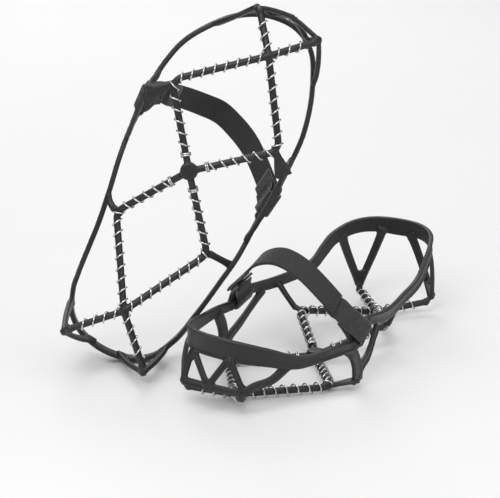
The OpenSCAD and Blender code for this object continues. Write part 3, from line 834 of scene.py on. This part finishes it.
def webbing_material():
    """Black webbing: a ribbed weave with dusty yarns, painted light on the weave's raised cells, and a slight
    sheen.
    """
    mat, tree, shader = material("woven_webbing")
    height, cell = woven_height(tree, 1.3, 0.9)
    # Painted light: the weave's raised cells are lighter; the noise adds dusty flecks.
    yarn_flecks_and_crest_light = maths(tree, "ADD", remap(tree, cell, 0.0, 0.5),
                 maths(tree, "MULTIPLY", noise(tree, 900, 3), 0.7))
    colour = ramp(tree, yarn_flecks_and_crest_light, [(0.2, grey(0.006)), (0.6, grey(0.013)), (0.95, grey(0.026))])
    tree.links.new(colour, shader.inputs["Base Color"])
    tree.links.new(remap(tree, noise(tree, 300, 2), 0.5, 0.72), shader.inputs["Roughness"])
    fine = bump(tree, shader, noise(tree, 3500, 2), 0.2, 0.0001)
    bump(tree, shader, height, 0.55, 0.00022, fine)
    shader.inputs["Sheen Weight"].default_value = 0.25
    shader.inputs["Sheen Roughness"].default_value = 0.4
    return mat


def fuzzy_material():
    """The ground of the loop pile: matt, and flecked with paler fibre ends."""
    mat, tree, shader = material("loop_pile")
    speck = noise(tree, 1500, 4, 0.7)
    colour = ramp(tree, speck, [(0.38, grey(0.007)), (0.55, grey(0.018)), (0.72, grey(0.07))])
    tree.links.new(colour, shader.inputs["Base Color"])
    shader.inputs["Roughness"].default_value = 0.92
    coarse = bump(tree, shader, noise(tree, 900, 3), 0.6, 0.0005)
    bump(tree, shader, speck, 0.7, 0.0005, coarse)
    shader.inputs["Sheen Weight"].default_value = 0.6
    shader.inputs["Sheen Roughness"].default_value = 0.5
    return mat


def hook_material():
    """Rows of little moulded hooks, drawn as a dotted relief, with a painted highlight on the hooks' tops."""
    mat, tree, shader = material("hook_fabric")
    height, cell = woven_height(tree, 1.0, 1.0)
    # Painted highlight: the raised cells, the tops of the hooks, are lighter in the base colour.
    colour = ramp(tree, cell, [(0.3, grey(0.010)), (0.8, grey(0.030))])
    tree.links.new(colour, shader.inputs["Base Color"])
    tree.links.new(remap(tree, noise(tree, 800, 2), 0.35, 0.55), shader.inputs["Roughness"])
    bump(tree, shader, height, 0.9, 0.0004)
    return mat


def thread_material():
    """Grey sewing thread with its twist."""
    mat, tree, shader = material("sewing_thread")
    twist = node(tree, "ShaderNodeTexWave", Scale=520.0, Distortion=1.5)
    tree.links.new(node(tree, "ShaderNodeTexCoord").outputs["Object"], twist.inputs["Vector"])
    colour = ramp(tree, twist.outputs["Fac"], [(0.1, grey(0.022)), (0.9, grey(0.075))])
    tree.links.new(colour, shader.inputs["Base Color"])
    tree.links.new(remap(tree, noise(tree, 1200, 2), 0.5, 0.7), shader.inputs["Roughness"])
    bump(tree, shader, twist.outputs["Fac"], 0.6, 0.0001)
    return mat


RUBBER = rubber_material()
STEEL = steel_material()
WEBBING = webbing_material()
FUZZY = fuzzy_material()
HOOK = hook_material()
THREAD = thread_material()


# ---------- building both cleats ----------
# Loops of pile on each fuzzy strip, the first station that carries them, and the seed.
STRAP_PILE = 5200, 9, 11
KEEPER_PILE = 3400, LEG_STEPS, 12
# Rows of stitches: over the seam, beside the outer fold, and on the keeper.
SEAM_ROWS = 2, 5.5, 7.5
FOLD_ROWS = 12, 15
KEEPER_ROWS = 3, 5


def fuzzy_strip(stations, loops):
    """A fuzzy strip with its pile."""
    count, first, seed = loops
    soup = Soup()
    sheet(soup, stations, STRAP_W, STRAP_T, 0.0)
    pile(soup, stations[first:], STRAP_W, STRAP_T, count, seed)
    return soup


def plain_strip(stations, w, t, selvedge):
    soup = Soup()
    sheet(soup, stations, w, t, selvedge)
    return soup


def stitching(rows, drop):
    soup = Soup()
    for s in rows:
        stitch_row(soup, s, drop)
    return soup


def build_parts():
    """Every mesh of one cleat, in the cleat's own frame."""
    pad = span(WEBBING_END - PAD_LEN - 1, WEBBING_END - 1, -(STRAP_T + HOOK_T) / 2 - GAP)
    rows = [FUZZY_LEN + lap for lap in SEAM_ROWS] + list(FOLD_ROWS)
    keeper_rows = [STRAP_LEN - back for back in KEEPER_ROWS]
    soups = {
        "strap_webbing": plain_strip(span(FUZZY_LEN, WEBBING_END, 0), STRAP_W, STRAP_T, SELVEDGE),
        "strap_fuzzy_section": fuzzy_strip(fuzzy_stations(), STRAP_PILE),
        "strap_hook_pad": plain_strip(pad, STRAP_W - 3, HOOK_T, 0.0),
        "keeper_tab": fuzzy_strip(keeper_stations(), KEEPER_PILE),
        "strap_stitching": stitching(rows, 0),
        "keeper_stitching": stitching(keeper_rows, -KEEPER_DROP),
    }
    parts = {name: mesh_of(soup, name) for name, soup in soups.items()}
    parts["harness"] = fused(harness_soup())
    return parts


LOOKS = {
    "harness": (RUBBER, "cleat", "rubber"),
    "strap_webbing": (WEBBING, "strap", "webbing"),
    "strap_fuzzy_section": (FUZZY, "strap", "loop_fabric"),
    "strap_hook_pad": (HOOK, "strap", "hook_fabric"),
    "strap_stitching": (THREAD, "strap", "thread"),
    "keeper_tab": (FUZZY, "keeper", "loop_fabric"),
    "keeper_stitching": (THREAD, "keeper", "thread"),
}
PARTS = build_parts()
for side in SIDES:
    for part, (finish, body, slot) in LOOKS.items():
        set_down(PARTS[part], side, f"{side}_{part}", finish, f"{side}_{body}")
for name, obj in nodes.items():
    if "coil" in name:
        for mat_slot in obj.material_slots:
            mat_slot.material = STEEL

# ---------- floor, light and camera ----------
WHITE_FLOOR = 0.93
FLOOR_SIZE = 12
FLOOR_DROP = 0.0002
SKY_STRENGTH = 0.62
LIGHT_AIM = 0, 0, 0.1
# Name, place, size and power of each light, in metres and watts.
LIGHTS = (("key", (0.2, -1.5, 1.7), 1.1, 17),
          ("fill", (1.9, -0.4, 1.0), 1.4, 7),
          ("rim", (-1.2, 1.3, 1.4), 1.0, 10))
# The photograph's viewing angle, about the middle of the flat cleat.
VIEW_FROM = vec(814.5, -1515.7, 636.1)
VIEW_ALONG = unit(vec(-0.4768, 0.8258, -0.3014))
LENS = 161.8
SENSOR = 36
MID_FOOT = vec(0, 160, 0)


def put_in_scene(name, data, at, along):
    """A light or camera at a place, looking along a direction."""
    obj = bpy.data.objects.new(name, data)
    obj.location = at
    obj.rotation_mode = "QUATERNION"
    obj.rotation_quaternion = Vector(along).to_track_quat("-Z", "Y")
    bpy.context.scene.collection.objects.link(obj)
    return obj


def lay_floor():
    bpy.ops.mesh.primitive_plane_add(size=FLOOR_SIZE, location=(0, 0, -FLOOR_DROP))
    floor = bpy.context.object
    floor.name = "studio_floor"
    mat, tree, shader = material("studio_paper")
    paper = ramp(tree, noise(tree, 6, 2),
                 [(0.3, grey(WHITE_FLOOR - 0.01)), (0.7, grey(WHITE_FLOOR))])
    tree.links.new(paper, shader.inputs["Base Color"])
    shader.inputs["Roughness"].default_value = 0.9
    floor.data.materials.append(mat)


def light_studio():
    """White all round; glossy surfaces see it dark at the sides and bright overhead."""
    world = bpy.data.worlds.new("studio")
    bpy.context.scene.world = world
    world.use_nodes = True
    sky = world.node_tree
    soft = sky.nodes["Background"]
    soft.inputs["Color"].default_value = (1, 1, 1, 1)
    soft.inputs["Strength"].default_value = SKY_STRENGTH
    height = node(sky, "ShaderNodeSeparateXYZ")
    sky.links.new(node(sky, "ShaderNodeTexCoord").outputs["Generated"], height.inputs[0])
    seen = node(sky, "ShaderNodeBackground", Strength=1.0)
    shades = ramp(sky, remap(sky, height.outputs[2], 0.0, 1.0),
                  [(0.1, grey(0.04)), (0.45, grey(0.25)), (0.8, grey(1.3))])
    sky.links.new(shades, seen.inputs["Color"])
    choose = node(sky, "ShaderNodeMixShader")
    sky.links.new(node(sky, "ShaderNodeLightPath").outputs["Is Glossy Ray"], choose.inputs[0])
    sky.links.new(soft.outputs[0], choose.inputs[1])
    sky.links.new(seen.outputs[0], choose.inputs[2])
    sky.links.new(choose.outputs[0], sky.nodes["World Output"].inputs["Surface"])
    for name, at, size, power in LIGHTS:
        data = bpy.data.lights.new(name, "AREA")
        data.size = size
        data.energy = power
        put_in_scene(name, data, at, Vector(LIGHT_AIM) - Vector(at))


def set_camera():
    turn, shift = PLACEMENT["left"]
    eye = turn @ MID_FOOT + shift + VIEW_FROM
    data = bpy.data.cameras.new("camera")
    data.lens = LENS
    data.sensor_width = SENSOR
    data.clip_start, data.clip_end = 0.05, 50
    bpy.context.scene.camera = put_in_scene("camera", data, eye * MM, VIEW_ALONG)
    bpy.context.scene.view_settings.view_transform = "Standard"


lay_floor()
light_studio()
set_camera()
